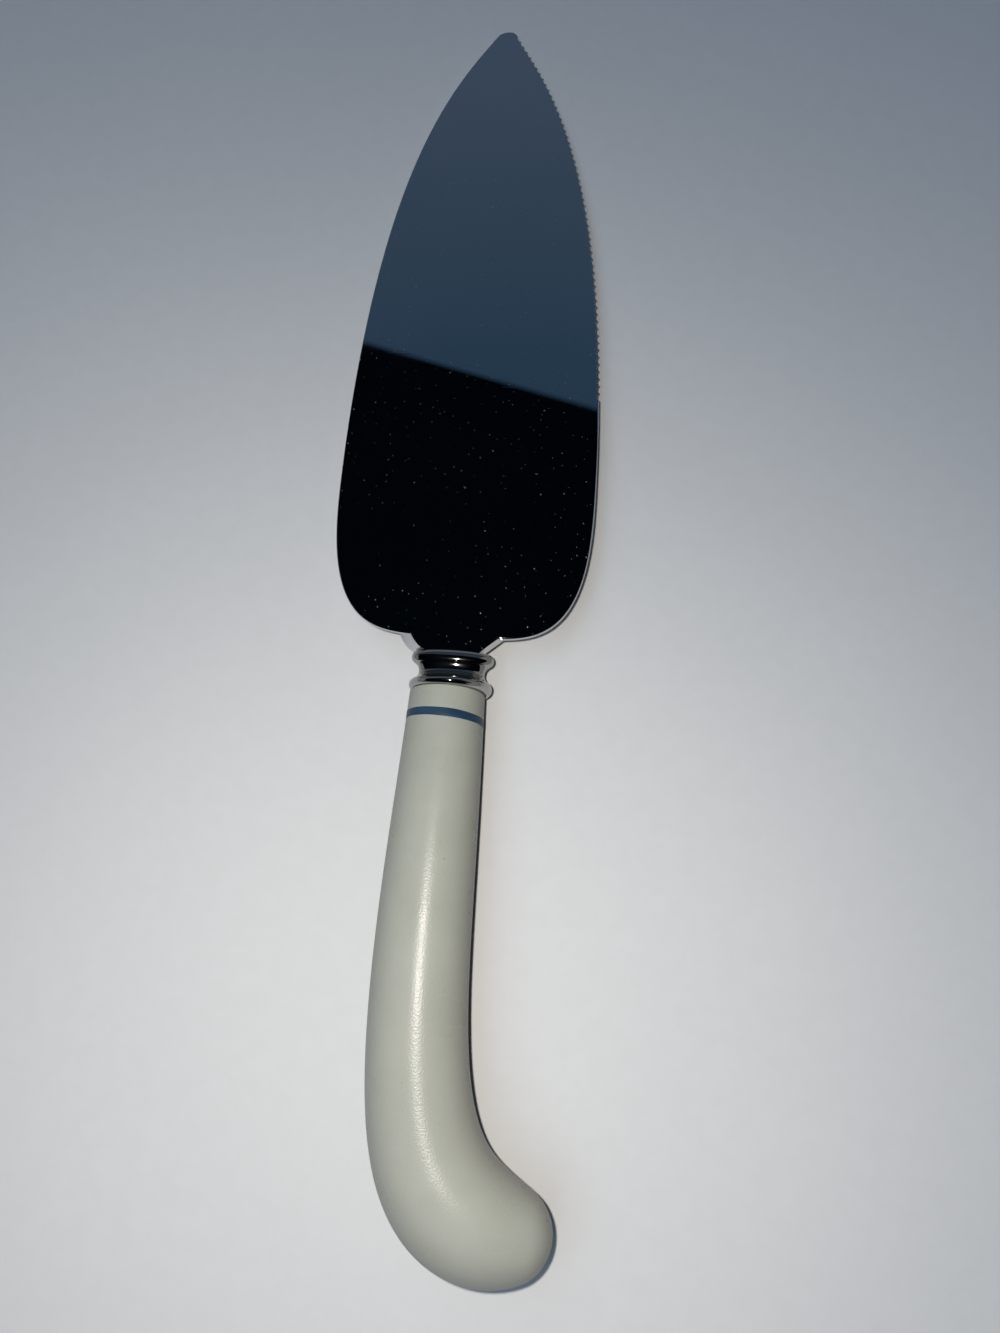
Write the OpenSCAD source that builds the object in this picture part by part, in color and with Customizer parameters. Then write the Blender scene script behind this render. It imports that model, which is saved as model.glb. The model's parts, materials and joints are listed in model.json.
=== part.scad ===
// Cake server with a toothed blade, a beaded collar and a hooked glazed handle.
// It lies on a table, tip towards +Y, and leans on its tip and on its collar.
// Every piece is drawn along the handle's own line first, seam at y = 0,
// and then set down on the table by laid().

/* [Blade] */
// Length of the flat blade from its tip to its heel
blade_len = 150.6; // [120:0.1:180]
// Width across the widest place of the blade
blade_w = 52.2; // [40:0.1:62]
// Thickness of the blade
blade_t = 1.2; // [0.8:0.1:2]
// Height of the blade's upper face above the handle's line
blade_top = 2.0; // [1.7:0.1:2.3]
// Widest place of the blade, as a share of its length from the tip
widest_share = 0.777; // [0.65:0.01:0.85]
// Radius of the rounded tip
tip_r = 2.7; // [1.5:0.1:4.5]
// Angle between each long edge and the middle line where it leaves the tip
tip_angle = 30; // [22:1:40]
// Reach of the straight start of each long edge, as a share of the edge
edge_start = 0.128; // [0.05:0.01:0.3]
// Reach of the straight end of each long edge, as a share of the edge
edge_end = 0.684; // [0.5:0.01:0.75]
// Fullness of the heel's corners across the blade
heel_across = 4.4; // [3:0.1:6]
// Fullness of the heel's corners along the blade
heel_along = 2.7; // [2:0.1:4]

/* [Teeth] */
// Distance between neighbouring teeth
tooth_pitch = 1.75; // [1.4:0.05:2.2]
// Depth of the gap between two teeth
tooth_depth = 0.47; // [0.3:0.01:0.7]
// End of the toothed run, as a share of the blade's length from the tip
teeth_share = 0.648; // [0.5:0.01:0.7]

/* [Neck and tang] */
// Length of the neck between the heel and the collar
neck_len = 2.8; // [2:0.1:5]
// Half width of the neck's flat top where it meets the collar
neck_top_back = 5.3; // [4.4:0.1:5.8]
// Half width of the neck's flat top at the heel
neck_top_front = 8.5; // [7:0.1:11]
// Width of the neck's sloping left side, seen from above
neck_left = 2.4; // [1.4:0.1:2.8]
// Width of the neck's sloping right side, seen from above
neck_right = 0.7; // [0.6:0.1:1.9]
// Drop from the neck's top to the lower edge of those sides
neck_edge_down = 2.4; // [1.4:0.1:2.8]
// Metal left around the tang where it leaves the neck
neck_cover = 0.1; // [0.1:0.05:0.3]
// Length of the tongue under the blade that the neck runs out in
tongue_len = 12; // [8:0.5:20]
// Radius of the tang at the collar
tang_r = 1.7; // [1.4:0.05:2]
// Radius of the tang at its end
tang_end_r = 1.2; // [0.8:0.05:1.35]
// Length of the tang inside the handle
tang_in = 44; // [30:1:50]

/* [Collar] */
// Length of the collar
collar_len = 8.1; // [7:0.1:11]
// Largest radius of both beads
bead_top_r = 8.05; // [7.8:0.05:9]
// Radius of the rounding of each bead
bead_round = 1.3; // [1.2:0.05:1.6]
// Distance from each end of the collar to the middle of its bead
bead_in = 1.2; // [0.8:0.05:1.2]
// Radius at the bottom of the hollow between the beads
waist_r = 6.4; // [6.2:0.1:7]
// Height of the collar's oval front, as a share of its width
front_flat = 0.42; // [0.42:0.01:0.6]
// Distance from the seam over which the collar stays round
round_to = 0.5; // [0.3:0.1:0.8]
// Distance from the seam at which the collar has become flat
flat_from = 4.4; // [4:0.1:5]
// Depth of the socket in the collar's round back
collar_in = 1.2; // [0.8:0.1:1.4]
// Play between the tang and its hole in the collar
tang_play = 0.05; // [0.02:0.01:0.1]

/* [Handle] */
// Radius of the handle where it meets the collar
grip_r0 = 7.25; // [6.8:0.05:7.25]
// Radius a fifth of the way along
grip_r1 = 8.31; // [7.7:0.05:8.8]
// Radius two fifths of the way along
grip_r2 = 8.83; // [8.3:0.05:9.4]
// Radius three fifths of the way along
grip_r3 = 9.39; // [8.9:0.05:9.9]
// Radius four fifths of the way along, in the hook's bend
grip_r4 = 10.12; // [9.5:0.05:10.6]
// Radius of the round end
grip_r5 = 7.8; // [7.2:0.05:8.4]
// Sideways place of the handle's middle where it meets the collar
grip_x = -0.45; // [-0.5:0.05:0.3]
// Reach of the handle's straight start
grip_lead = 56.4; // [50:0.1:62]
// Distance from the seam to the hook's bend point
bend_y = 89.34; // [85:0.1:94]
// Sideways place of the hook's bend point
bend_x = -5.11; // [-7:0.1:-3]
// Distance from the seam to the middle of the round end
end_y = 92.08; // [90:0.1:96]
// Sideways place of the middle of the round end
end_x = 17.46; // [16:0.1:18]
// Radius of the straight hole for the tang
socket_r = 4.0; // [3.4:0.1:4.4]
// Depth of that hole
socket_in = 48; // [45:1:54]

/* [Painted line] */
// Distance from the seam to the near edge of the line
line_at = 4.55; // [3:0.05:8]
// Width of the line
line_w = 1.6; // [0.8:0.1:2.4]
// Depth of the line below the glaze
line_in = 0.2; // [0.1:0.05:0.4]
// Height of the line above the glaze
line_up = 0.05; // [0.03:0.01:0.1]

/* [Hidden] */

half_w = blade_w / 2;
blade_low = blade_top - blade_t;
heel_y = collar_len + neck_len;
tip_y = heel_y + blade_len;
widest = widest_share * blade_len;
overlap = 1;

// Points of a curve with four control points
function curve(p, t) = pow(1 - t, 3) * p[0] + 3 * pow(1 - t, 2) * t * p[1]
    + 3 * (1 - t) * t * t * p[2] + pow(t, 3) * p[3];

// Direction and speed along that curve
function curve_speed(p, t) = 3 * pow(1 - t, 2) * (p[1] - p[0])
    + 6 * (1 - t) * t * (p[2] - p[1]) + 3 * t * t * (p[3] - p[2]);

// Control points of the right long edge: half width, then distance from the tip
edge_p0 = [tip_r * cos(tip_angle), tip_r * (1 - sin(tip_angle))];
edge_pts = [
    edge_p0,
    edge_p0 + edge_start * widest * [sin(tip_angle), cos(tip_angle)],
    [half_w, widest * (1 - edge_end)],
    [half_w, widest]
];

// Half of the outline in three runs: round tip, long edge and heel
tip_steps = 6;
edge_steps = 36;
heel_steps = 24;
tip_run = [for (i = [0:tip_steps - 1])
    let (a = i * (90 - tip_angle) / tip_steps) [tip_r * sin(a), tip_r * (1 - cos(a))]];
edge_run = [for (i = [0:edge_steps]) curve(edge_pts, i / edge_steps)];
heel_run = [for (i = [1:heel_steps])
    let (a = 90 * i / heel_steps)
    [half_w * pow(max(cos(a), 0), 2 / heel_across),
     widest + (blade_len - widest) * pow(sin(a), 2 / heel_along)]];

// Length along the edge, for spacing the teeth
walk_steps = 240;
walk_pts = [for (i = [0:walk_steps]) curve(edge_pts, i / walk_steps)];
walk_len = [for (i = 0, d = 0; i <= walk_steps;
    d = d + (i < walk_steps ? norm(walk_pts[i + 1] - walk_pts[i]) : 0), i = i + 1) d];
share_at_len = [for (i = [0:walk_steps]) [walk_len[i], i / walk_steps]];
len_at_reach = [for (i = [0:walk_steps]) [walk_pts[i][1], walk_len[i]]];

// The gaps between the teeth: round cuts that meet in a point on the edge
tooth_count = floor(lookup(teeth_share * blade_len, len_at_reach) / tooth_pitch);
teeth_end = lookup(tooth_count * tooth_pitch, share_at_len);
gap_r = (tooth_pitch * tooth_pitch / 4 + tooth_depth * tooth_depth) / (2 * tooth_depth);
gap_turn = asin(tooth_pitch / 2 / gap_r);
gap_steps = 6;
function gap(i) =
    let (
        t = lookup((i + 0.5) * tooth_pitch, share_at_len),
        v = curve_speed(edge_pts, t),
        along = v / norm(v),
        out = [along[1], -along[0]],
        middle = curve(edge_pts, t) + (gap_r - tooth_depth) * out
    )
    [for (k = [0:gap_steps - 1])
        let (a = gap_turn * (2 * k / gap_steps - 1))
        middle + gap_r * (sin(a) * along - cos(a) * out)];
toothed_run = concat(
    [for (i = [0:tooth_count - 1]) each gap(i)],
    [curve(edge_pts, teeth_end)],
    [for (i = [0:edge_steps]) if (i / edge_steps > teeth_end + 0.01) edge_run[i]]
);

module plate() {
    left = concat(tip_run, edge_run, heel_run);
    translate([0, 0, blade_low]) linear_extrude(height = blade_t)
        polygon(concat(
            [for (p = concat(tip_run, toothed_run, heel_run)) [p[0], tip_y - p[1]]],
            [for (i = [len(left) - 2:-1:1]) [-left[i][0], tip_y - left[i][1]]]
        ));
}

// The neck: a flat top level with the blade, sloping sides and a round belly
neck_depth = 2 * (tang_r + neck_cover);
tang_z = blade_top - neck_depth / 2;
neck_edge_z = -min(neck_edge_down, neck_depth - 0.4);
neck_join = 0.7;
belly_steps = 8;

// Half width of the neck's flat top, u before the collar
function neck_top(u) = neck_top_back
    + (neck_top_front - neck_top_back) * pow(min(u, neck_len + neck_join) / neck_len, 1.5);

// One side of the neck's cross section, from its flat top round to the middle of its belly
function neck_half(w1, w2, top, edge, deep) = concat(
    [[w1, top], [(w1 + w2) / 2 - 0.1, (top + edge) / 2]],
    [for (i = [0:belly_steps])
        let (a = 90 * i / belly_steps)
        [w2 * pow(max(cos(a), 0), 0.8), edge + (deep - edge) * pow(sin(a), 0.9)]]
);

// One cross section of the neck, u before the collar, with the share k of its full depth.
// It is sunk into the plate where the plate covers it.
function neck_section(u, k, sunk) =
    let (
        top = sunk ? -blade_t / 2 : 0,
        w1 = neck_top(u) * (0.25 + 0.75 * sqrt(k)),
        edge = neck_edge_z * k - (blade_t - 0.1) * (1 - k),
        deep = -neck_depth * k - (blade_t - 0.05) * (1 - k),
        right = neck_half(w1, w1 + neck_right * k, top, edge, deep),
        left = neck_half(w1, w1 + neck_left * k, top, edge, deep)
    )
    [for (q = concat(right, [for (i = [len(left) - 2:-1:0]) [-left[i][0], left[i][1]]]))
        [q[0], collar_len + u, blade_top + q[1]]];

neck_steps = 6;
tongue_steps = 8;
neck_sections = concat(
    [for (i = [0:neck_steps]) neck_section(i * (neck_len + neck_join) / neck_steps, 1, false)],
    [for (i = [1:tongue_steps])
        let (a = 90 * i / tongue_steps)
        neck_section(neck_len + neck_join + tongue_len * sin(a), cos(a), true)]
);

// Skin over a stack of rings with the same number of points, closed at both ends
module skin(rings) {
    n = len(rings[0]);
    m = len(rings);
    polyhedron(
        points = [for (ring = rings) each ring],
        faces = concat(
            [[for (j = [0:n - 1]) j]],
            [for (i = [0:m - 2]) for (j = [0:n - 1])
                [i * n + j, (i + 1) * n + j, i * n + (j + 1) % n]],
            [for (i = [0:m - 2]) for (j = [0:n - 1])
                [(i + 1) * n + j, (i + 1) * n + (j + 1) % n, i * n + (j + 1) % n]],
            [[for (j = [n - 1:-1:0]) (m - 1) * n + j]]
        ),
        convexity = 6
    );
}

module tang(extra) {
    translate([0, collar_len + neck_len / 2, tang_z]) rotate([90, 0, 0])
        cylinder(h = neck_len / 2 + collar_len + overlap, r = tang_r + extra, $fn = 48);
    translate([0, -overlap, tang_z]) rotate([90, 0, 0])
        cylinder(h = tang_in - overlap, r1 = tang_r + extra, r2 = tang_end_r + extra, $fn = 48);
}

// The collar's half width along it: two beads with a hollow that runs smoothly into both
bead_r = bead_top_r - bead_round;
bead_gap = collar_len / 2 - bead_in;
bead_drop = waist_r - bead_r;
hollow_r = (bead_drop * bead_drop + bead_gap * bead_gap - bead_round * bead_round)
    / (2 * (bead_round - bead_drop));
hollow_out = waist_r + hollow_r;
bead_turn = acos(bead_in / bead_round);
meet_turn = atan2(hollow_out - bead_r, bead_gap);
bead_steps = 8;
front_bead = [for (i = [0:bead_steps])
    let (a = bead_turn + (180 - meet_turn - bead_turn) * i / bead_steps)
    [bead_r + bead_round * sin(a), collar_len - bead_in + bead_round * cos(a)]];
front_hollow = [for (i = [1:bead_steps])
    let (a = meet_turn + (90 - meet_turn) * i / bead_steps)
    [hollow_out - hollow_r * sin(a), collar_len / 2 + hollow_r * cos(a)]];
front_shape = concat(front_bead, front_hollow);
collar_shape = concat(
    front_shape,
    [for (i = [len(front_shape) - 2:-1:0]) [front_shape[i][0], collar_len - front_shape[i][1]]]
);

// The collar is round at its back bead and flat from its waist to the blade
collar_sides = 64;
function flat_share(y) = let (q = min(max((y - round_to) / (flat_from - round_to), 0), 1))
    1 - (1 - front_flat) * q * q * (3 - 2 * q);
function collar_ring(w, y) = [for (j = [0:collar_sides - 1])
    let (a = 360 * j / collar_sides) [w * cos(a), y, w * flat_share(y) * sin(a)]];
collar_points = [for (q = collar_shape) collar_ring(q[0], q[1])];

// Path and radius of the handle
grip_path = [[grip_x, 0], [grip_x, -grip_lead], [bend_x, -bend_y], [end_x, -end_y]];
grip_radii = [grip_r0, grip_r1, grip_r2, grip_r3, grip_r4, grip_r5];

// Weight of radius number i at the share t, and how fast it changes
function others(i) = [for (j = [0:5]) if (j != i) j];
function product(v, k = 0) = k == len(v) ? 1 : v[k] * product(v, k + 1);
function weight(i, t) = product([for (j = others(i)) (5 * t - j) / (i - j)]);
function weight_speed(i, t) = let (o = others(i)) sum([for (k = [0:4])
    5 / (i - o[k]) * product([for (m = [0:4]) if (m != k) (5 * t - o[m]) / (i - o[m])])]);
function sum(v, k = 0) = k == len(v) ? 0 : v[k] + sum(v, k + 1);
function grip_r(t) = sum([for (i = [0:5]) grip_radii[i] * weight(i, t)]);
function grip_r_speed(t) = sum([for (i = [0:5]) grip_radii[i] * weight_speed(i, t)]);

// Ring of the handle's surface: the skin over balls that roll along the path.
// It holds the ring's middle, its radius and the path's direction there.
function grip_ring(t) =
    let (
        v = curve_speed(grip_path, t),
        dir = v / norm(v),
        r = grip_r(t),
        slope = grip_r_speed(t) / norm(v)
    )
    [curve(grip_path, t) - r * slope * dir, r * sqrt(1 - slope * slope), dir];

grip_sides = 44;
grip_steps = 54;
cap_steps = 8;

function ring_points(ring) = [for (j = [0:grip_sides - 1])
    let (a = 360 * j / grip_sides, c = ring[1] * cos(a))
    [ring[0][0] + c * ring[2][1], ring[0][1] - c * ring[2][0], ring[1] * sin(a)]];

last_ring = grip_ring(1);
cap_start = acos(last_ring[1] / grip_r5);
grip_rings = concat(
    [[grip_path[0], grip_r0, [0, -1]]],
    [for (i = [1:grip_steps]) grip_ring(i / grip_steps)],
    [for (i = [1:cap_steps])
        let (a = cap_start + (88 - cap_start) * i / cap_steps)
        [[end_x, -end_y] + grip_r5 * sin(a) * last_ring[2], grip_r5 * cos(a), last_ring[2]]]
);
grip_points = [for (ring = grip_rings) ring_points(ring)];

// Radius and sideways place of the handle near the seam, by distance from it
near_rings = [for (i = [0:12]) grip_rings[i]];
r_at = [for (ring = near_rings) [-ring[0][1], ring[1]]];
x_at = [for (ring = near_rings) [-ring[0][1], ring[0][0]]];
line_r0 = lookup(line_at, r_at);
line_r1 = lookup(line_at + line_w, r_at);
line_x = lookup(line_at + line_w / 2, x_at);

// Where it all comes to rest: leaning on the tip's lower corner and on whatever reaches lowest behind
all_collar = [for (ring = collar_points) each ring];
all_grip = [for (ring = grip_points) each ring];
rest_tilt = max([for (p = concat(all_collar, all_grip)) atan2(blade_low - p[2], tip_y - p[1])]);
function set_y(p) = p[1] * cos(rest_tilt) + p[2] * sin(rest_tilt);
function set_z(p) = p[2] * cos(rest_tilt) - p[1] * sin(rest_tilt);
lowest = set_z([0, tip_y, blade_low]);
front_y = set_y([0, tip_y, blade_top]);
back_y = min([for (p = all_grip) set_y(p)]);

module laid() {
    translate([0, -(front_y + back_y) / 2, -lowest]) rotate([-rest_tilt, 0, 0]) children();
}

module blade() {
    color([0.78, 0.79, 0.81]) laid() {
        plate();
        skin(neck_sections);
        tang(0);
    }
}

module collar() {
    color([0.86, 0.87, 0.88]) laid() difference() {
        skin(collar_points);
        translate([0, collar_in, 0]) rotate([90, 0, 0])
            cylinder(h = collar_in + overlap, r = socket_r, $fn = 64);
        tang(tang_play);
    }
}

module handle() {
    color([0.86, 0.87, 0.83]) laid() difference() {
        skin(grip_points);
        translate([0, overlap, 0]) rotate([90, 0, 0])
            cylinder(h = socket_in + overlap, r = socket_r, $fn = 64);
        translate([line_x, 0, 0]) rotate([90, 0, 0]) rotate_extrude($fn = 96)
            polygon([
                [line_r0 - line_in, line_at],
                [line_r0 + overlap, line_at],
                [line_r1 + overlap, line_at + line_w],
                [line_r1 - line_in, line_at + line_w]
            ]);
    }
}

module tang_cement() {
    color([0.72, 0.70, 0.65]) laid() difference() {
        translate([0, collar_in, 0]) rotate([90, 0, 0])
            cylinder(h = collar_in + socket_in, r = socket_r, $fn = 64);
        tang(0);
    }
}

module blue_line() {
    color([0.24, 0.32, 0.47]) laid() translate([line_x, 0, 0]) rotate([90, 0, 0])
        rotate_extrude($fn = 96)
            polygon([
                [line_r0 - line_in, line_at],
                [line_r0 + line_up, line_at],
                [line_r1 + line_up, line_at + line_w],
                [line_r1 - line_in, line_at + line_w]
            ]);
}

blade();
collar();
handle();
tang_cement();
blue_line();
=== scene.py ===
"""Looks of a cake server: toothed mirror-bright blade, beaded collar and hooked glazed handle.

Sizes are in millimetres along the handle's own line, with the seam between collar and
handle at y = 0 and the tip towards +y. laid() sets a point down on the table, in metres.
The blade's outline is drawn in (half width, distance from the tip).
"""
import json
import math

import bpy
from mathutils import Matrix, Vector


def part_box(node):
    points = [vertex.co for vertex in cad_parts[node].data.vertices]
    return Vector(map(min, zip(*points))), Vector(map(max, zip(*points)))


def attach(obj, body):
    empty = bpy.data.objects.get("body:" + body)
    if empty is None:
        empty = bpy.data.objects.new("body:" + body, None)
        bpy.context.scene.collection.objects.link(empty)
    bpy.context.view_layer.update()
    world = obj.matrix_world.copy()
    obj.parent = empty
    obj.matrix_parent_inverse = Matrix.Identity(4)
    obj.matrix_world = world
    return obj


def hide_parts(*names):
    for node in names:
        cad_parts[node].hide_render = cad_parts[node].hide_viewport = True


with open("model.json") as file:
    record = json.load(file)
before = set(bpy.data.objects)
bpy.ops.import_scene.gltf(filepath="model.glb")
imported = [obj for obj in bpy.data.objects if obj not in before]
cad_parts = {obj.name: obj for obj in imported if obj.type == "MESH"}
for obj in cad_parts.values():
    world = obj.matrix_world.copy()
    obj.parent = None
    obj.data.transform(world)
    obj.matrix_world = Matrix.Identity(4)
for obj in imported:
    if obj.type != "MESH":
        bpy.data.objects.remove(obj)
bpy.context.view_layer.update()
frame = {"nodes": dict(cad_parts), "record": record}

MM = 0.001
QUARTER_TURN = math.pi / 2

# Blade
BLADE_LEN = 150.6
HALF_W = 26.1
BLADE_T = 1.2
BLADE_TOP = 2.0
BLADE_LOW = BLADE_TOP - BLADE_T
WIDEST = 0.777 * BLADE_LEN
TIP_R = 2.7
TIP_ANGLE = math.radians(30)
TIP_STEPS = 10
NOSE_LEAN = 0.55
EDGE_START = 0.128
EDGE_END = 0.684
EDGE_STEPS = 150
HEEL_ACROSS = 4.4
HEEL_ALONG = 2.7
HEEL_STEPS = 70

# Rim of the blade: finer on the long edges than round the heel
RIM_LONG = 0.16
RIM_HEEL = 0.34
RIM_BLEND = 12.0
RIM_STEPS = 4
FLAT_RING = 0.2

# Teeth: gaps with a round floor, ground from below, their upper rim as (inset, height)
TOOTH_PITCH = 1.75
TOOTH_DEPTH = 0.47
TEETH_SHARE = 0.648
TOOTH_STEPS = 10
TOOTH_RIM = [(0.05, 0.0), (0.035, -0.002), (0.02, -0.008), (0.008, -0.018), (0.0, -0.035)]
GRIND = 0.66
GRIND_FROM = 0.04
LAST_TOOTH_FADE = 0.12
LAST_TOOTH_GAP = 0.4
EDGE_PROBES = 600
A_HAIR = 1e-6

# Neck
NECK_LEN = 2.8
NECK_TOP_BACK = 5.3
NECK_TOP_FRONT = 8.5
NECK_LEFT = 2.1
NECK_RIGHT = 0.3
NECK_EDGE = -2.4
NECK_DEPTH = 3.6
NECK_JOIN = 0.7
NECK_SINK = 0.004
NECK_DIP = 0.12
NECK_SOFT = 0.12
NECK_FLARE_LEFT = 0.5
NECK_FLARE_RIGHT = 1.0
NECK_STEPS = 16
SIDE_STEPS = 6
BELLY_STEPS = 20
BELLY_ACROSS = 0.8
BELLY_DOWN = 0.9

# Tongue: the neck's run-out under the heel, which ends narrower and just inside the blade
TONGUE_LEN = 12.0
TONGUE_STEPS = 24
TONGUE_END_W = 0.25
TONGUE_EDGE_IN = 0.1
TONGUE_BELLY_IN = 0.05

# Tang
TANG_R = 1.7
TANG_END_R = 1.2
TANG_IN = 44.0
TANG_POINT_LEN = 2.0
TANG_POINT_R = 0.3
TANG_SIDES = 48
TANG_Z = BLADE_TOP - NECK_DEPTH / 2

# Collar
COLLAR_LEN = 8.1
BEAD_TOP_R = 8.05
BEAD_ROUND = 1.3
BEAD_IN = 1.2
BEAD_R = BEAD_TOP_R - BEAD_ROUND
WAIST_R = 6.4
FRONT_FLAT = 0.42
ROUND_TO = 0.5
FLAT_FROM = 4.4
FALL_FROM = 6.0
FRONT_FALL = 0.07
COLLAR_IN = 1.2
TANG_HOLE_R = 1.75
LIP_ROUND = 0.25
COLLAR_SIDES = 192
COLLAR_STEPS = 24

# Handle: the control points of its middle line, and its radii at even steps along it
GRIP_PATH = [(-0.45, 0.0), (-0.45, -56.4), (-5.11, -89.34), (17.46, -92.08)]
GRIP_RADII = [7.25, 8.31, 8.83, 9.39, 10.12, 7.8]
GRIP_SIDES = 128
GRIP_STEPS = 200
GRIP_FIRST = 2
SLOPE_STEP = 1e-4
CAP_STEPS = 24
CAP_END = math.radians(89)
SOCKET_R = 4.0
SOCKET_IN = 48.0
SEAM_ROUND = 0.35
SEAM_STEPS = 4

# Painted line: each edge wavers by sums of (size, waves round the handle, phase)
LINE_AT = 4.55
LINE_W = 1.6
LINE_IN = 0.2
LINE_UP = 0.035
LINE_TILT = 0.045
LINE_EDGE = 0.12
LINE_SHOULDER = (0.4, 0.7)
WAVER_BACK = ((0.03, 4, 1.9), (0.02, 9, 0.4))
WAVER_FRONT = ((0.035, 3, 0.7), (0.02, 7, 2.1))
LINE_SIDES = 192
LINE_PROBES = 400
LINE_REACH = 60

# The camera, from the photograph: its place and aim along the handle's own line
CAMERA_AT = (17.5, -48.11, 186.67)
CAMERA_AIM = (-0.04227, 0.27865, -0.95946)
CAMERA_UP = (-0.06365, 0.95762, 0.28092)
CAMERA_NEAR = 0.01
FOCAL_PIXELS = 1000.0
PHOTO_WIDTH = 1000.0
PHOTO_HEIGHT = 1333.0
SENSOR = 36.0

# The table, in metres, and how much darker it is as a source of light and in mirrors
TABLE_HALF = 4.0
BOUNCE_CUT = 0.85
MIRROR_CUT = 0.25

# A small lamp beside the camera, in metres and watts
KEY_FROM_CAMERA = (-0.011, 0.006, 0.005)
KEY_SIZE = 0.006
KEY_POWER = 0.34
KEY_COLOUR = (1.0, 0.949, 0.871)
KEY_LEAN = (-0.045, -0.12)

# Soft bluish light of the room, from above left
ROOM_LIGHT = (0.895, 1.118, 1.454)
ROOM_REST = (0.02, 0.024, 0.03)
ROOM_ASIDE = (-0.20, 0.10)
ROOM_UP = (0.60, 0.95)
BACKGROUND = (0.80, 0.81, 0.82)

# What mirrors show of the room: (height, colour) up the sky, dark behind, grey walls aside
SKY_STEPS = [
    (0.00, (0.30, 0.305, 0.31)),
    (0.08, (0.17, 0.18, 0.19)),
    (0.20, (0.050, 0.062, 0.075)),
    (0.45, (0.040, 0.056, 0.076)),
    (0.63, (0.052, 0.077, 0.118)),
    (0.72, (0.038, 0.064, 0.099)),
    (0.80, (0.024, 0.051, 0.087)),
    (1.00, (0.015, 0.035, 0.062)),
]
HORIZON = (0.02, 0.10)
BEHIND = (-0.55, -0.10)
BEHIND_COLOUR = (0.006, 0.010, 0.013)
WALL_RIGHT = (0.50, 0.62)
WALL_LEFT = (-0.94, -0.84)
WALL_COLOUR = (0.24, 0.24, 0.235)

# The dark card over the blade, in metres, and two points of the photograph on its mirrored edge
CARD_EDGE = ((370.0, 341.0), (580.0, 401.0))
CARD_HEIGHT = 0.30
CARD_LONG = 1.30
CARD_DEEP = 1.10
CARD_SOFT = 0.004

# Colours of the materials
STEEL_DULL = (0.735, 0.75, 0.77)
STEEL_CLEAR = (0.80, 0.81, 0.825)
DUST = (0.14, 0.145, 0.14)
CHROME_DULL = (0.45, 0.447, 0.435)
CHROME_CLEAR = (0.51, 0.507, 0.493)
GLAZE_DEEP = (0.407, 0.418, 0.356)
GLAZE_PALE = (0.445, 0.457, 0.394)
GLAZE_WARM = (0.441, 0.443, 0.400)
GLAZE_SPECK = (0.16, 0.16, 0.14)
GLAZE_MARK = (0.27, 0.27, 0.25)
BLUE_DEEP = (0.015, 0.042, 0.088)
BLUE_THIN = (0.035, 0.078, 0.135)
CEMENT_DARK = (0.36, 0.34, 0.29)
CEMENT_PALE = (0.56, 0.54, 0.48)
TABLE_COOL = (0.74, 0.745, 0.745)
TABLE_WARM = (0.79, 0.79, 0.785)
TABLE_FIBRE = (0.70, 0.70, 0.69)
CARD_COLOUR = (0.008, 0.027, 0.045)
BLACK = (0.0, 0.0, 0.0)

TIP_Y = COLLAR_LEN + NECK_LEN + BLADE_LEN

# How the server leans on its tip, from the way its serving face looks, and where the frame puts it
face_way = frame["record"]["mounts"][0]["axis"]
TURN = Matrix.Rotation(-math.atan2(face_way[1], face_way[2]), 3, "X")
tip_top = TURN @ Vector((0, TIP_Y, BLADE_TOP))
tip_low = TURN @ Vector((0, TIP_Y, BLADE_LOW))
SHIFT = Vector((0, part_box("blade")[1].y / MM - tip_top.y, -tip_low.z))


def laid(p):
    """A point along the handle's own line, in mm, set down on the table, in metres."""
    return (TURN @ Vector(p) + SHIFT) * MM


def laid_way(d):
    """A direction along the handle's own line, turned as the server lies."""
    return TURN @ Vector(d)


# Meshes
def new_object(name, data):
    """An object in the scene."""
    obj = bpy.data.objects.new(name, data)
    bpy.context.scene.collection.objects.link(obj)
    return obj


def make(name, shape, material, node, sharp):
    """A piece in place of one of the frame's solids; edges over so many degrees stay crisp."""
    verts, faces = shape
    mesh = bpy.data.meshes.new(name)
    mesh.from_pydata([laid(v) for v in verts], [], faces)
    mesh.validate()
    mesh.update()
    obj = new_object(name, mesh)
    mesh.materials.append(material)
    mesh.polygons.foreach_set("use_smooth", [True] * len(mesh.polygons))
    mesh.set_sharp_from_angle(angle=math.radians(sharp))
    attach(obj, "root")
    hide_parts(node)


def skin(rings, capped=True):
    """Points and faces over rings of equal length, with flat ends or closed into a loop."""
    n = len(rings[0])
    count = len(rings)
    verts = [p for ring in rings for p in ring]
    faces = []
    for i in range(count - 1 if capped else count):
        here = i * n
        there = (i + 1) % count * n
        for j in range(n):
            k = (j + 1) % n
            faces.append((here + j, here + k, there + k, there + j))
    if capped:
        faces.append(tuple(range(n - 1, -1, -1)))
        faces.append(tuple((count - 1) * n + j for j in range(n)))
    return verts, faces


def joined(*shapes):
    """Several closed shells as one piece's points and faces."""
    verts, faces = [], []
    for shape_verts, shape_faces in shapes:
        base = len(verts)
        verts += shape_verts
        faces += [tuple(base + i for i in f) for f in shape_faces]
    return verts, faces


def spread(first, last, steps):
    """Even steps from first to last, both of them included."""
    return [first + (last - first) * i / steps for i in range(steps + 1)]


def full_turn(sides):
    """The angles of a ring's points."""
    return spread(0, 2 * math.pi, sides)[:-1]


def oval(across, up, y, sides, z=0.0):
    """A ring about the handle's line at y, so far across and so far up, raised by z."""
    return [(across * math.cos(a), y, z + up * math.sin(a)) for a in full_turn(sides)]


def eased(value, low, high):
    """0 below low and 1 above high, with a smooth rise between them."""
    q = min(max((value - low) / (high - low), 0.0), 1.0)
    return q * q * (3 - 2 * q)


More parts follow.
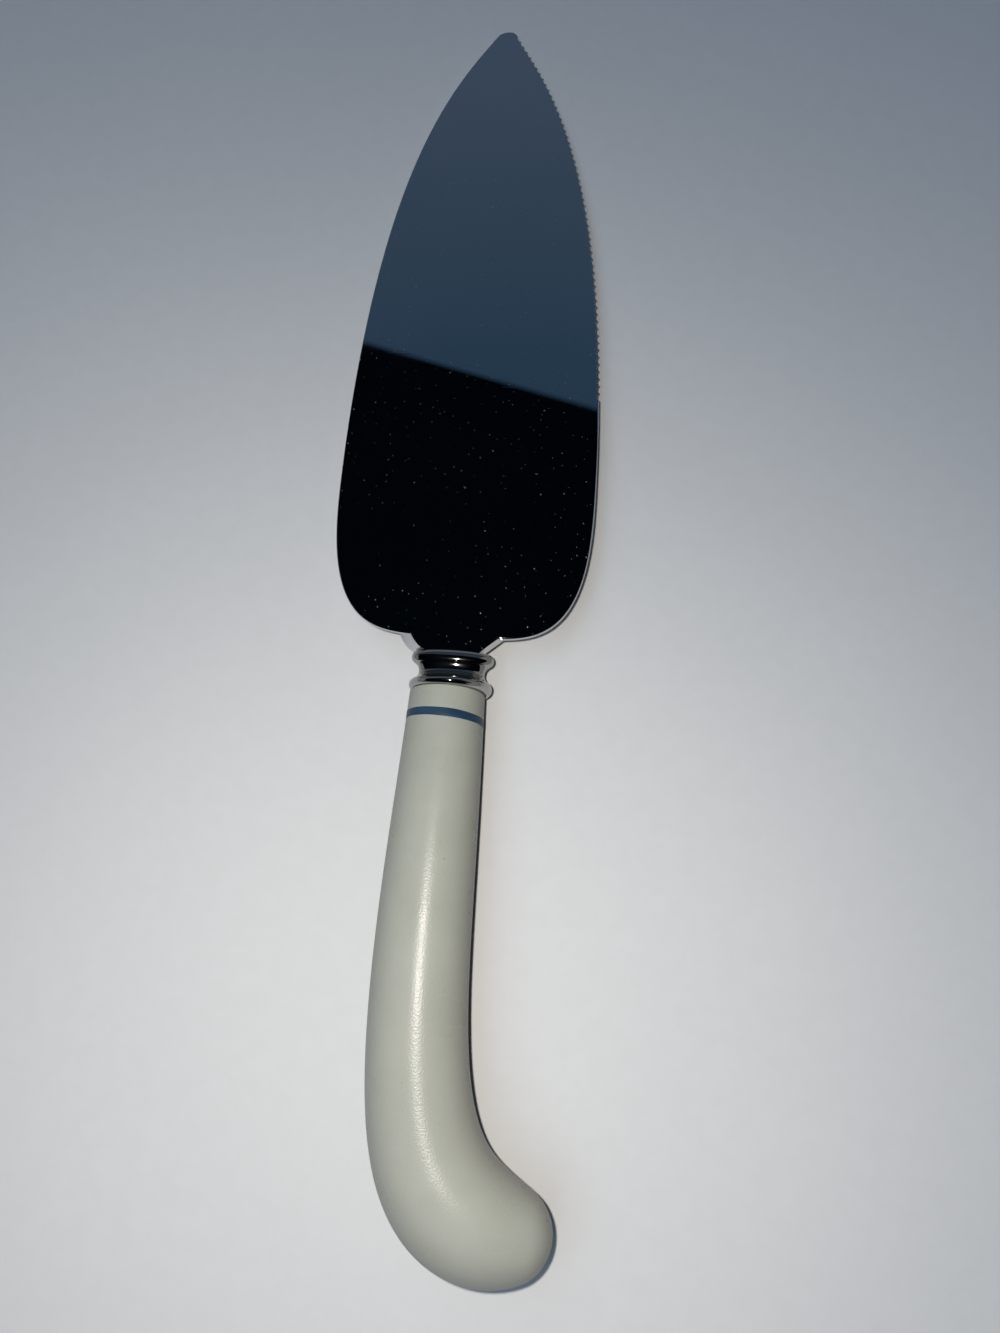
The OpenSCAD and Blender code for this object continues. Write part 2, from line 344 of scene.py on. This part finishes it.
def curve(p, t):
    """Point on a curve with four control points."""
    w = ((1 - t) ** 3, 3 * (1 - t) ** 2 * t, 3 * (1 - t) * t * t, t ** 3)
    return Vector((sum(a * q[0] for a, q in zip(w, p)), sum(a * q[1] for a, q in zip(w, p))))


def curve_speed(p, t):
    """Direction and speed along that curve."""
    w = (3 * (1 - t) ** 2, 6 * (1 - t) * t, 3 * t * t)
    step = [Vector(p[i + 1]) - Vector(p[i]) for i in range(3)]
    return w[0] * step[0] + w[1] * step[1] + w[2] * step[2]


# The blade's outline
EDGE_FROM = Vector((TIP_R * math.cos(TIP_ANGLE), TIP_R * (1 - math.sin(TIP_ANGLE))))
EDGE = [
    EDGE_FROM,
    EDGE_FROM + EDGE_START * WIDEST * Vector((math.sin(TIP_ANGLE), math.cos(TIP_ANGLE))),
    Vector((HALF_W, WIDEST * (1 - EDGE_END))),
    Vector((HALF_W, WIDEST)),
]


def outline_normals(points):
    """Outward normals of a run of outline points."""
    out = []
    for i in range(len(points)):
        d = points[min(i + 1, len(points) - 1)] - points[max(i - 1, 0)]
        out.append(Vector((d.y, -d.x)).normalized())
    return out


def smooth_half():
    """Half of the blade's outline without teeth: its points, each with its outward normal."""
    points = []
    for a in spread(0, QUARTER_TURN - TIP_ANGLE, TIP_STEPS)[:-1]:
        points.append(Vector((TIP_R * math.sin(a), TIP_R * (1 - math.cos(a)))))
    points += [curve(EDGE, t) for t in spread(0, 1, EDGE_STEPS)]
    for a in spread(0, QUARTER_TURN, HEEL_STEPS)[1:]:
        across = HALF_W * max(math.cos(a), 0.0) ** (2 / HEEL_ACROSS)
        along = WIDEST + (BLADE_LEN - WIDEST) * math.sin(a) ** (2 / HEEL_ALONG)
        points.append(Vector((across, along)))
    normals = outline_normals(points)
    normals[0] = Vector((0, -1))
    normals[-1] = Vector((0, 1))
    return list(zip(points, normals))


def edge_walk():
    """Steps along the edge's curve, as (length from its start, share of the curve)."""
    walk = [(0.0, 0.0)]
    last = curve(EDGE, 0)
    for t in spread(0, 1, EDGE_PROBES)[1:]:
        here = curve(EDGE, t)
        walk.append((walk[-1][0] + (here - last).length, t))
        last = here
    return walk


def share_at(walk, length):
    """Share of the edge's curve at a length from its start."""
    i = max(k for k in range(len(walk) - 1) if walk[k][0] <= length)
    a, b = walk[i], walk[i + 1]
    return a[1] + (b[1] - a[1]) * (length - a[0]) / (b[0] - a[0])


def edge_place(t):
    """Point of the edge, with the way along it and the way out of the blade."""
    along = curve_speed(EDGE, t).normalized()
    return curve(EDGE, t), along, Vector((along.y, -along.x))


def toothed_half(plain):
    """The same half with the teeth cut in; each point also says whether it is on a tooth."""
    walk = edge_walk()
    run = max(length for length, t in walk if curve(EDGE, t).y <= TEETH_SHARE * BLADE_LEN)
    count = int(run // TOOTH_PITCH)
    gap_r = (TOOTH_PITCH ** 2 / 4 + TOOTH_DEPTH ** 2) / (2 * TOOTH_DEPTH)
    gap_turn = math.asin(TOOTH_PITCH / 2 / gap_r)
    rows = [(p, n, False) for p, n in plain if p.y < EDGE_FROM.y - A_HAIR]
    for i in range(count):
        foot, along, out = edge_place(share_at(walk, (i + 0.5) * TOOTH_PITCH))
        middle = foot + (gap_r - TOOTH_DEPTH) * out
        for a in spread(-gap_turn, gap_turn, TOOTH_STEPS)[:-1]:
            rows.append((middle + gap_r * (math.sin(a) * along - math.cos(a) * out), out, True))
    end, along, out = edge_place(share_at(walk, count * TOOTH_PITCH))
    rows.append((end, out, True))
    rows.append((end + LAST_TOOTH_FADE * along, out, False))
    rows += [(p, n, False) for p, n in plain if p.y > end.y + LAST_TOOTH_GAP]
    return rows


def nose_lean(p):
    """Sideways shift of a point of the tip's nose, whose peak stands towards the teeth."""
    return NOSE_LEAN * (1 - abs(p.x) / EDGE_FROM.x) if p.y < EDGE_FROM.y else 0.0


# The blade
def rim_radius(s):
    """Radius of the smooth rim at the distance s from the tip."""
    return RIM_LONG + (RIM_HEEL - RIM_LONG) * eased(s, WIDEST - RIM_BLEND, WIDEST + RIM_BLEND)


def rim_profile(toothed, s):
    """(inset, height) steps from the flat upper face round the rim to the flat lower face.

    Both kinds of rim have as many steps, so that they meet where the teeth end.
    """
    if toothed:
        top = TOOTH_RIM
        foot = top[-1][1]
        low = [(GRIND * q, foot - (BLADE_T + foot) * q) for q in spread(GRIND_FROM, 1, RIM_STEPS)]
    else:
        r = rim_radius(s)
        turn = spread(0, QUARTER_TURN, RIM_STEPS)
        top = [(r * (1 - math.sin(a)), -r * (1 - math.cos(a))) for a in turn]
        low = [(inset, -BLADE_T - down) for inset, down in reversed(top)]
    rows = [(top[0][0] + FLAT_RING, 0.0), *top, *low, (low[-1][0] + FLAT_RING, -BLADE_T)]
    return [(inset, BLADE_TOP + down) for inset, down in rows]


def blade_plate():
    """The flat plate, from the tip down its toothed side and back up its smooth side."""
    plain = smooth_half()
    rows = toothed_half(plain)
    rows += [(Vector((-p.x, p.y)), Vector((-n.x, n.y)), False) for p, n in plain[-2:0:-1]]
    columns = []
    for p, n, toothed in rows:
        x = p.x + nose_lean(p)
        columns.append([(x - inset * n.x, TIP_Y - (p.y - inset * n.y), z)
                        for inset, z in rim_profile(toothed, p.y)])
    return skin([list(ring) for ring in zip(*columns)])


def neck_top(u, flare):
    """Half width of the neck's flat top, u before the collar."""
    share = min(u, NECK_LEN + NECK_JOIN) / NECK_LEN
    return NECK_TOP_BACK + (NECK_TOP_FRONT - NECK_TOP_BACK) * share ** flare


def neck_half(w_top, w_edge, top, edge, deep):
    """One side of the neck's section, from its flat top round to the middle of its belly."""
    half = [(w_top - 2 * NECK_SOFT, top), (w_top - NECK_SOFT, top)]
    for q in spread(0, 1, SIDE_STEPS)[1:-1]:
        dip = NECK_DIP * math.sin(math.pi * q)
        half.append((w_top + (w_edge - w_top) * q - dip, top + (edge - top) * q))
    for a in spread(0, QUARTER_TURN, BELLY_STEPS):
        across = w_edge * max(math.cos(a), 0.0) ** BELLY_ACROSS
        half.append((across, edge + (deep - edge) * math.sin(a) ** BELLY_DOWN))
    return half


def neck_ring(u, k, sunk):
    """One cross section of the neck, u before the collar, with the share k of its full depth."""
    top = -BLADE_T / 2 if sunk else -NECK_SINK
    narrow = TONGUE_END_W + (1 - TONGUE_END_W) * math.sqrt(k)
    w_right = neck_top(u, NECK_FLARE_RIGHT) * narrow
    w_left = neck_top(u, NECK_FLARE_LEFT) * narrow
    edge = NECK_EDGE * k - (BLADE_T - TONGUE_EDGE_IN) * (1 - k)
    deep = -NECK_DEPTH * k - (BLADE_T - TONGUE_BELLY_IN) * (1 - k)
    right = neck_half(w_right, w_right + NECK_RIGHT * k, top, edge, deep)
    left = neck_half(w_left, w_left + NECK_LEFT * k, top, edge, deep)
    full = right + [(-x, z) for x, z in reversed(left[:-1])]
    return [(x, COLLAR_LEN + u, BLADE_TOP + z) for x, z in full]


def blade_neck():
    """The neck between collar and plate, with its tongue that runs out under the heel."""
    long = NECK_LEN + NECK_JOIN
    rings = [neck_ring(u, 1.0, False) for u in spread(0, long, NECK_STEPS)]
    for a in spread(0, QUARTER_TURN, TONGUE_STEPS)[1:]:
        rings.append(neck_ring(long + TONGUE_LEN * math.sin(a), max(math.cos(a), 0.0), True))
    return skin(rings)


def blade_tang():
    """The round rod that runs from inside the neck into the handle."""
    profile = [
        (TANG_R, COLLAR_LEN + NECK_LEN / 2),
        (TANG_R, 0.0),
        (TANG_END_R + TANG_POINT_R, TANG_POINT_LEN - TANG_IN),
        (TANG_END_R, -TANG_IN),
    ]
    return skin([oval(r, r, y, TANG_SIDES, TANG_Z) for r, y in profile])


# The collar
def flat_share(y):
    """Height of the collar as a share of its width: round at the back bead, flat from the waist on.

    The front bead falls a little towards the blade, so that its crest mirrors the room ahead.
    """
    ahead = max((y - FALL_FROM) / (COLLAR_LEN - FALL_FROM), 0.0)
    return 1 - (1 - FRONT_FLAT) * eased(y, ROUND_TO, FLAT_FROM) - FRONT_FALL * ahead * ahead


def collar_half():
    """(half width, y) of the collar from its front face over the bead to the middle of its waist.

    The waist is a hollow whose arc runs smoothly into the arcs of both beads.
    """
    reach = COLLAR_LEN / 2 - BEAD_IN
    drop = WAIST_R - BEAD_R
    hollow = (drop ** 2 + reach ** 2 - BEAD_ROUND ** 2) / (2 * (BEAD_ROUND - drop))
    centre = WAIST_R + hollow
    first = math.acos(BEAD_IN / BEAD_ROUND)
    meet = math.atan2(centre - BEAD_R, reach)
    half = []
    for a in spread(first, math.pi - meet, COLLAR_STEPS):
        half.append((BEAD_R + BEAD_ROUND * math.sin(a),
                     COLLAR_LEN - BEAD_IN + BEAD_ROUND * math.cos(a)))
    for a in spread(meet, QUARTER_TURN, COLLAR_STEPS)[1:]:
        half.append((centre - hollow * math.sin(a), COLLAR_LEN / 2 + hollow * math.cos(a)))
    return half


def collar():
    """Two beads with a waist between them, over the tang's hole and the cement's socket."""
    half = collar_half()
    lip = half[0][0] - LIP_ROUND
    outer = [(lip, COLLAR_LEN), *half[1:]]
    outer += [(w, COLLAR_LEN - y) for w, y in reversed(half[1:-1])]
    outer += [(lip, 0.0)]
    rings = [oval(TANG_HOLE_R, TANG_HOLE_R, COLLAR_LEN, COLLAR_SIDES, TANG_Z)]
    rings += [oval(w, w * flat_share(y), y, COLLAR_SIDES) for w, y in outer]
    rings += [oval(SOCKET_R, SOCKET_R, y, COLLAR_SIDES) for y in (0.0, COLLAR_IN)]
    rings += [oval(TANG_HOLE_R, TANG_HOLE_R, COLLAR_IN, COLLAR_SIDES, TANG_Z)]
    return skin(rings, capped=False)


# The handle
def grip_radius(t):
    """Radius of the handle along its path: the smooth curve through GRIP_RADII."""
    count = len(GRIP_RADII)
    total = 0.0
    for i, r in enumerate(GRIP_RADII):
        w = 1.0
        for j in range(count):
            if j != i:
                w *= ((count - 1) * t - j) / (i - j)
        total += r * w
    return total


def grip_ring(t):
    """Middle, radius and direction of a ring: the skin over balls that roll along the path."""
    v = curve_speed(GRIP_PATH, t)
    way = v.normalized()
    r = grip_radius(t)
    rise = grip_radius(t + SLOPE_STEP) - grip_radius(t - SLOPE_STEP)
    slope = rise / (2 * SLOPE_STEP) / v.length
    return curve(GRIP_PATH, t) - r * slope * way, r * math.sqrt(1 - slope * slope), way


def grip_points(middle, r, way):
    """Points of a ring that stands square to its direction."""
    return [(middle.x + r * math.cos(a) * way.y, middle.y - r * math.cos(a) * way.x, r * math.sin(a))
            for a in full_turn(GRIP_SIDES)]


def handle():
    """Socket, front face and rounded seam, then the body along its path and its round end."""
    down = Vector((0, -1))
    seam_x = GRIP_PATH[0][0]
    seam_r = GRIP_RADII[0]
    rings = [
        (Vector((0, -SOCKET_IN)), SOCKET_R, down),
        (Vector((0, 0)), SOCKET_R, down),
        (Vector((seam_x, 0)), seam_r - 2 * SEAM_ROUND, down),
    ]
    for a in spread(0, QUARTER_TURN, SEAM_STEPS):
        middle = Vector((seam_x, -SEAM_ROUND * (1 - math.cos(a))))
        rings.append((middle, seam_r - SEAM_ROUND * (1 - math.sin(a)), down))
    rings += [grip_ring(t) for t in spread(0, 1, GRIP_STEPS)[GRIP_FIRST:]]
    end_r, way = rings[-1][1:]
    ball = GRIP_RADII[-1]
    for a in spread(math.acos(end_r / ball), CAP_END, CAP_STEPS)[1:]:
        rings.append((Vector(GRIP_PATH[-1]) + ball * math.sin(a) * way, ball * math.cos(a), way))
    return skin([grip_points(*ring) for ring in rings])


def painted_line():
    """The painted line: a thin band that follows the glaze, with slightly wavering edges."""
    probes = [grip_ring(t) for t in spread(0, 1, LINE_PROBES)[1:LINE_REACH]]

    def at(dist):
        return min(probes, key=lambda ring: abs(-ring[0].y - dist))

    r_front, r_back = at(LINE_AT)[1], at(LINE_AT + LINE_W)[1]
    x = at(LINE_AT + LINE_W / 2)[0].x
    rise = [(-LINE_IN, 0.0), (0.0, 0.0), (LINE_UP * LINE_SHOULDER[1], LINE_EDGE * LINE_SHOULDER[0]),
            (LINE_UP, LINE_EDGE)]
    profile = [*rise, (LINE_UP, LINE_W / 2), *((up, LINE_W - along) for up, along in rise[::-1])]
    rings = []
    for up, along in profile:
        wavers = WAVER_BACK if along > LINE_W / 2 else WAVER_FRONT
        r = r_front + (r_back - r_front) * along / LINE_W + up
        ring = []
        for a in full_turn(LINE_SIDES):
            waver = sum(size * math.sin(waves * a + phase) for size, waves, phase in wavers)
            aside = r * math.cos(a)
            ring.append((x + aside, -(LINE_AT + along + waver + LINE_TILT * aside), r * math.sin(a)))
        rings.append(ring)
    return skin(rings, capped=False)


# Materials: the colour sockets of a mix node, and how soft a speck's edge is
MIX_A = 6
MIX_B = 7
MIX_OUT = 2
SPECK_SOFT = 0.3


class Tree:
    """Short hand for building one tree of shader nodes."""

    def __init__(self, tree):
        self.tree = tree

    def add(self, kind, **values):
        """A new node of a kind, with its settings."""
        node = self.tree.nodes.new(kind)
        for key, value in values.items():
            setattr(node, key, value)
        return node

    def feed(self, socket, value):
        """Set a socket to a number or a colour, or link another node's output to it."""
        if isinstance(value, tuple):
            socket.default_value = (*value, 1.0)
        elif isinstance(value, (int, float)):
            socket.default_value = value
        else:
            self.tree.links.new(value, socket)

    def mix(self, share, a, b):
        """Colour a where the share is 0, and b where it is 1."""
        node = self.add("ShaderNodeMix", data_type="RGBA")
        self.feed(node.inputs["Factor"], share)
        self.feed(node.inputs[MIX_A], a)
        self.feed(node.inputs[MIX_B], b)
        return node.outputs[MIX_OUT]

    def ranged(self, value, from_low, from_high, low=0.0, high=1.0, smooth=False):
        """A value carried from one range over to another, and held at its ends."""
        node = self.add("ShaderNodeMapRange", interpolation_type="SMOOTHSTEP" if smooth else "LINEAR")
        self.feed(node.inputs["Value"], value)
        self.feed(node.inputs["From Min"], from_low)
        self.feed(node.inputs["From Max"], from_high)
        self.feed(node.inputs["To Min"], low)
        self.feed(node.inputs["To Max"], high)
        return node.outputs["Result"]

    def math(self, how, a, b):
        """Two values put together by an operation."""
        node = self.add("ShaderNodeMath", operation=how)
        self.feed(node.inputs[0], a)
        self.feed(node.inputs[1], b)
        return node.outputs["Value"]

    def split(self, vector):
        """The X, Y and Z of a vector."""
        node = self.add("ShaderNodeSeparateXYZ")
        self.feed(node.inputs["Vector"], vector)
        return node.outputs


class Material(Tree):
    """One material's nodes; its textures lie in the piece's own space, in metres."""

    def __init__(self, name):
        self.material = bpy.data.materials.new(name)
        self.material.use_nodes = True
        super().__init__(self.material.node_tree)
        self.place = self.add("ShaderNodeTexCoord").outputs["Object"]

    def stretched(self, scale, angle=0.0):
        """The piece's own space, turned about z and scaled, for drawn-out textures."""
        node = self.add("ShaderNodeMapping")
        node.inputs["Scale"].default_value = scale
        node.inputs["Rotation"].default_value = (0.0, 0.0, angle)
        self.feed(node.inputs["Vector"], self.place)
        return node.outputs["Vector"]

    def noise(self, scale, detail, rough=0.55, place=None):
        """Cloudy noise, with scale as its bumps in a metre."""
        node = self.add("ShaderNodeTexNoise")
        self.feed(node.inputs["Scale"], scale)
        self.feed(node.inputs["Detail"], detail)
        self.feed(node.inputs["Roughness"], rough)
        self.feed(node.inputs["Vector"], place or self.place)
        return node.outputs["Fac"]

    def specks(self, apart, size, place=None, flat=False):
        """1 in scattered dots of unequal size, 0 elsewhere; apart and size are in metres."""
        node = self.add("ShaderNodeTexVoronoi", voronoi_dimensions="2D" if flat else "3D")
        self.feed(node.inputs["Scale"], 1 / apart)
        self.feed(node.inputs["Randomness"], 1.0)
        self.feed(node.inputs["Vector"], place or self.place)
        pick = self.add("ShaderNodeSeparateColor")
        self.feed(pick.inputs["Color"], node.outputs["Color"])
        reach = self.math("MULTIPLY", pick.outputs["Red"], size / apart)
        inside = self.math("SUBTRACT", reach, node.outputs["Distance"])
        return self.ranged(inside, 0.0, SPECK_SOFT * size / apart)

    def bump(self, height, strength, depth, under=None):
        """Normals of a relief of a depth in metres, laid over the relief under it."""
        node = self.add("ShaderNodeBump")
        self.feed(node.inputs["Strength"], strength)
        self.feed(node.inputs["Distance"], depth)
        self.feed(node.inputs["Height"], height)
        if under is not None:
            self.feed(node.inputs["Normal"], under)
        return node.outputs["Normal"]

    def finish(self, **values):
        """Feed the shader's sockets, named with _ for each space, and hand the material over."""
        shader = self.tree.nodes["Principled BSDF"]
        for key, value in values.items():
            self.feed(shader.inputs[key.replace("_", " ")], value)
        return self.material


def steel_material():
    """Mirror-polished stainless steel: faint clouding, rubbing scratches and a little pale dust."""
    n = Material("mirror_steel")
    cloud = n.noise(scale=55.0, detail=3.0)
    lengthwise = n.stretched((1.0, 0.06, 1.0), angle=0.35)
    crosswise = n.stretched((0.05, 1.0, 1.0), angle=0.15)
    fine = n.noise(scale=900.0, detail=6.0, rough=0.6, place=lengthwise)
    cross = n.noise(scale=700.0, detail=6.0, rough=0.6, place=crosswise)
    scratch = n.ranged(n.math("MAXIMUM", fine, cross), 0.66, 0.78)
    coarse = n.specks(apart=0.0050, size=0.00016, flat=True)
    aside = n.stretched((1.0, 1.0, 1.0), angle=0.7)
    small = n.specks(apart=0.0026, size=0.00009, place=aside, flat=True)
    patch = n.ranged(n.noise(scale=45.0, detail=2.0), 0.40, 0.60, low=0.15, high=1.0)
    dust = n.math("MULTIPLY", n.math("MAXIMUM", coarse, small), patch)
    colour = n.mix(cloud, STEEL_DULL, STEEL_CLEAR)
    colour = n.mix(dust, colour, DUST)
    metal = n.ranged(dust, 0.0, 1.0, low=1.0, high=0.3)
    rough = n.ranged(cloud, 0.3, 0.7, low=0.012, high=0.03)
    rough = n.math("ADD", rough, n.math("MULTIPLY", scratch, 0.05))
    rough = n.math("ADD", rough, n.math("MULTIPLY", dust, 0.5))
    normal = n.bump(scratch, strength=0.05, depth=0.00002)
    normal = n.bump(dust, strength=0.4, depth=0.00004, under=normal)
    return n.finish(Base_Color=colour, Roughness=rough, Normal=normal, Metallic=metal)


def chrome_material():
    """Bright plated collar: slight haze and tiny rubs."""
    n = Material("bright_chrome")
    haze = n.noise(scale=260.0, detail=4.0)
    round_it = n.stretched((0.15, 1.0, 0.15))
    rub = n.ranged(n.noise(scale=1500.0, detail=5.0, rough=0.6, place=round_it), 0.62, 0.75)
    colour = n.mix(haze, CHROME_DULL, CHROME_CLEAR)
    rough = n.ranged(haze, 0.3, 0.7, low=0.05, high=0.10)
    rough = n.math("ADD", rough, n.math("MULTIPLY", rub, 0.06))
    normal = n.bump(rub, strength=0.06, depth=0.00002)
    return n.finish(Base_Color=colour, Roughness=rough, Normal=normal, Metallic=1.0)


def glaze_material():
    """Satin glaze: soft mottling, small dark specks, fine cutlery marks and a slight orange peel."""
    n = Material("satin_glaze")
    mottle = n.ranged(n.noise(scale=120.0, detail=5.0, rough=0.6), 0.3, 0.7)
    wide = n.ranged(n.noise(scale=28.0, detail=3.0), 0.35, 0.68)
    patch = n.ranged(n.noise(scale=95.0, detail=2.0), 0.45, 0.6, low=0.0, high=0.6)
    dark = n.math("MULTIPLY", n.specks(apart=0.0030, size=0.00022), patch)
    lengthwise = n.stretched((1.0, 0.05, 1.0), angle=0.3)
    marks = n.ranged(n.noise(scale=520.0, detail=5.0, rough=0.6, place=lengthwise), 0.66, 0.76)
    colour = n.mix(mottle, GLAZE_DEEP, GLAZE_PALE)
    colour = n.mix(n.math("MULTIPLY", wide, 0.35), colour, GLAZE_WARM)
    colour = n.mix(dark, colour, GLAZE_SPECK)
    colour = n.mix(n.math("MULTIPLY", marks, 0.13), colour, GLAZE_MARK)
    rough = n.ranged(mottle, 0.0, 1.0, low=0.26, high=0.32)
    rough = n.math("ADD", rough, n.math("MULTIPLY", marks, 0.08))
    peel = n.noise(scale=420.0, detail=4.0, rough=0.5)
    grain = n.noise(scale=3200.0, detail=2.0, rough=0.5)
    normal = n.bump(peel, strength=0.10, depth=0.00006)
    normal = n.bump(grain, strength=0.8, depth=0.00004, under=normal)
    normal = n.bump(marks, strength=0.08, depth=0.00003, under=normal)
    return n.finish(Base_Color=colour, Roughness=rough, Normal=normal, Specular_IOR_Level=0.32)


def line_material():
    """Fired blue-grey line: brushed colour that thins out in places."""
    n = Material("fired_blue")
    round_it = n.stretched((0.2, 1.0, 0.2))
    stroke = n.noise(scale=600.0, detail=5.0, rough=0.6, place=round_it)
    colour = n.mix(n.ranged(stroke, 0.3, 0.72), BLUE_DEEP, BLUE_THIN)
    rough = n.ranged(stroke, 0.3, 0.7, low=0.32, high=0.42)
    normal = n.bump(stroke, strength=0.1, depth=0.00004)
    return n.finish(Base_Color=colour, Roughness=rough, Normal=normal, Specular_IOR_Level=0.25)


def cement_material():
    """Set cement inside the handle: grainy, pale and dry."""
    n = Material("set_cement")
    grain = n.noise(scale=900.0, detail=6.0, rough=0.65)
    colour = n.mix(grain, CEMENT_DARK, CEMENT_PALE)
    rough = n.ranged(grain, 0.3, 0.7, low=0.85, high=0.95)
    normal = n.bump(grain, strength=0.4, depth=0.0002)
    return n.finish(Base_Color=colour, Roughness=rough, Normal=normal)


def table_material():
    """Pale matt table with a faint paper grain; bounced and mirrored rays see it darker, which paints
    shade onto the object's sides and dims the table in the metal's reflections.
    """
    n = Material("pale_table")
    fibre = n.noise(scale=260.0, detail=6.0, rough=0.62)
    path = n.add("ShaderNodeLightPath").outputs
    bounced = n.math("MULTIPLY", path["Is Diffuse Ray"], BOUNCE_CUT)
    mirrored = n.math("MULTIPLY", path["Is Glossy Ray"], MIRROR_CUT)
    colour = n.mix(n.noise(scale=9.0, detail=2.0), TABLE_COOL, TABLE_WARM)
    colour = n.mix(n.ranged(fibre, 0.35, 0.65, low=0.0, high=0.25), colour, TABLE_FIBRE)
    # Painted shade: the table darkens toward black for bounced and mirrored rays only, so it lights
    # the object less and shows dimmer in its mirrors.
    colour = n.mix(n.math("ADD", bounced, mirrored), colour, BLACK)
    normal = n.bump(fibre, strength=0.15, depth=0.0002)
    return n.finish(Base_Color=colour, Roughness=0.8, Normal=normal, Specular_IOR_Level=0.2)


def card_material():
    """Black card with a soft front edge, which runs along its own x."""
    n = Material("black_card")
    edge = n.ranged(n.split(n.place)["Y"], 0.0, CARD_SOFT)
    return n.finish(Base_Color=CARD_COLOUR, Roughness=1.0, Specular_IOR_Level=0.0, Alpha=edge)


# The pieces
blade = joined(blade_plate(), blade_neck(), blade_tang())
make("blade_with_tang", blade, steel_material(), "blade", sharp=30)
make("beaded_collar", collar(), chrome_material(), "collar", sharp=35)
make("glazed_handle", handle(), glaze_material(), "handle", sharp=50)
make("painted_line", painted_line(), line_material(), "blue_line", sharp=60)

cement = frame["nodes"]["tang_cement"]
cement.data.materials.clear()
cement.data.materials.append(cement_material())


# Table, light and camera
def stage_face(name, points, material):
    """A single flat face of the surroundings, which aren't part of the object."""
    mesh = bpy.data.meshes.new(name)
    mesh.from_pydata(points, [], [tuple(range(len(points)))])
    mesh.materials.append(material)
    obj = new_object(name, mesh)
    return obj


def make_table():
    """The flat table that the server lies on."""
    corners = [(-1, -1), (1, -1), (1, 1), (-1, 1)]
    points = [(x * TABLE_HALF, y * TABLE_HALF, 0.0) for x, y in corners]
    stage_face("table", points, table_material())


def make_lamp():
    """The small lamp beside the camera."""
    data = bpy.data.lights.new("key", "AREA")
    data.shape = "DISK"
    data.size = KEY_SIZE
    data.energy = KEY_POWER
    data.color = KEY_COLOUR
    obj = new_object("key", data)
    at = laid(CAMERA_AT) + Vector(KEY_FROM_CAMERA)
    aim = Vector((at.x + KEY_LEAN[0], at.y + KEY_LEAN[1], 0.0))
    obj.location = at
    obj.rotation_mode = "QUATERNION"
    obj.rotation_quaternion = (aim - at).to_track_quat("-Z", "Y")


def photo_ray(px, py):
    """Direction from the camera, along the handle's own line, through a point of the photograph."""
    aim = Vector(CAMERA_AIM).normalized()
    right = aim.cross(Vector(CAMERA_UP)).normalized()
    up = right.cross(aim)
    across = (px - PHOTO_WIDTH / 2) / FOCAL_PIXELS
    down = (py - PHOTO_HEIGHT / 2) / FOCAL_PIXELS
    return aim + across * right - down * up


def mirrored_at(px, py, height):
    """Where the ray through a point of the photograph, mirrored in the blade, meets a height."""
    way = photo_ray(px, py)
    seen = Vector(CAMERA_AT) + way * ((BLADE_TOP - CAMERA_AT[2]) / way.z)
    start = laid(seen)
    back = laid_way((way.x, way.y, -way.z))
    return start + back * ((height - start.z) / back.z)


def make_card():
    """The dark card above the blade; only mirror reflections show it."""
    near, far = [mirrored_at(px, py, CARD_HEIGHT) for px, py in CARD_EDGE]
    half = CARD_LONG / 2
    points = [(-half, 0, 0), (half, 0, 0), (half, CARD_DEEP, 0), (-half, CARD_DEEP, 0)]
    card = stage_face("dark_card", points, card_material())
    along = (near - far).normalized()
    up = Vector((0, 0, 1))
    turn = Matrix((along, up.cross(along), up)).transposed()
    card.matrix_world = Matrix.Translation((near + far) / 2) @ turn.to_4x4()
    for kind in ("camera", "diffuse", "transmission", "volume_scatter", "shadow"):
        setattr(card, "visible_" + kind, False)


def make_world():
    """Bluish light from above left; pale to the camera, and dim overhead in mirror reflections."""
    world = bpy.data.worlds.new("room")
    bpy.context.scene.world = world
    world.use_nodes = True
    n = Tree(world.node_tree)
    way = n.split(n.add("ShaderNodeTexCoord").outputs["Generated"])
    path = n.add("ShaderNodeLightPath").outputs

    def beyond(axis, limits):
        """0 below the first limit along an axis, 1 above the second, and smooth between them."""
        return n.ranged(way[axis], *limits, smooth=True)

    sky = n.add("ShaderNodeValToRGB")
    ramp = sky.color_ramp.elements
    while len(ramp) < len(SKY_STEPS):
        ramp.new(0.5)
    for spot, (height, colour) in zip(ramp, SKY_STEPS):
        spot.position = height
        spot.color = (*colour, 1.0)
    n.feed(sky.inputs["Fac"], way["Z"])
    mirror = n.mix(beyond("Y", BEHIND), BEHIND_COLOUR, sky.outputs["Color"])
    mirror = n.mix(beyond("Z", HORIZON), sky.outputs["Color"], mirror)
    mirror = n.mix(beyond("X", WALL_RIGHT), mirror, WALL_COLOUR)
    mirror = n.mix(beyond("X", WALL_LEFT), WALL_COLOUR, mirror)
    room = n.mix(beyond("X", ROOM_ASIDE), ROOM_LIGHT, ROOM_REST)
    room = n.mix(beyond("Z", ROOM_UP), ROOM_REST, room)
    light = n.mix(path["Is Glossy Ray"], room, mirror)
    light = n.mix(path["Is Camera Ray"], light, BACKGROUND)
    n.feed(world.node_tree.nodes["Background"].inputs["Color"], light)


def make_camera():
    """The camera, where the photograph was taken from."""
    data = bpy.data.cameras.new("camera")
    data.sensor_width = SENSOR
    data.lens = FOCAL_PIXELS * SENSOR / PHOTO_HEIGHT
    data.clip_start = CAMERA_NEAR
    obj = new_object("camera", data)
    back = -laid_way(CAMERA_AIM).normalized()
    right = laid_way(CAMERA_UP).cross(back).normalized()
    turn = Matrix((right, back.cross(right), back)).transposed()
    obj.matrix_world = Matrix.Translation(laid(CAMERA_AT)) @ turn.to_4x4()
    bpy.context.scene.camera = obj


make_table()
make_lamp()
make_card()
make_world()
make_camera()
bpy.context.scene.view_settings.view_transform = "Standard"
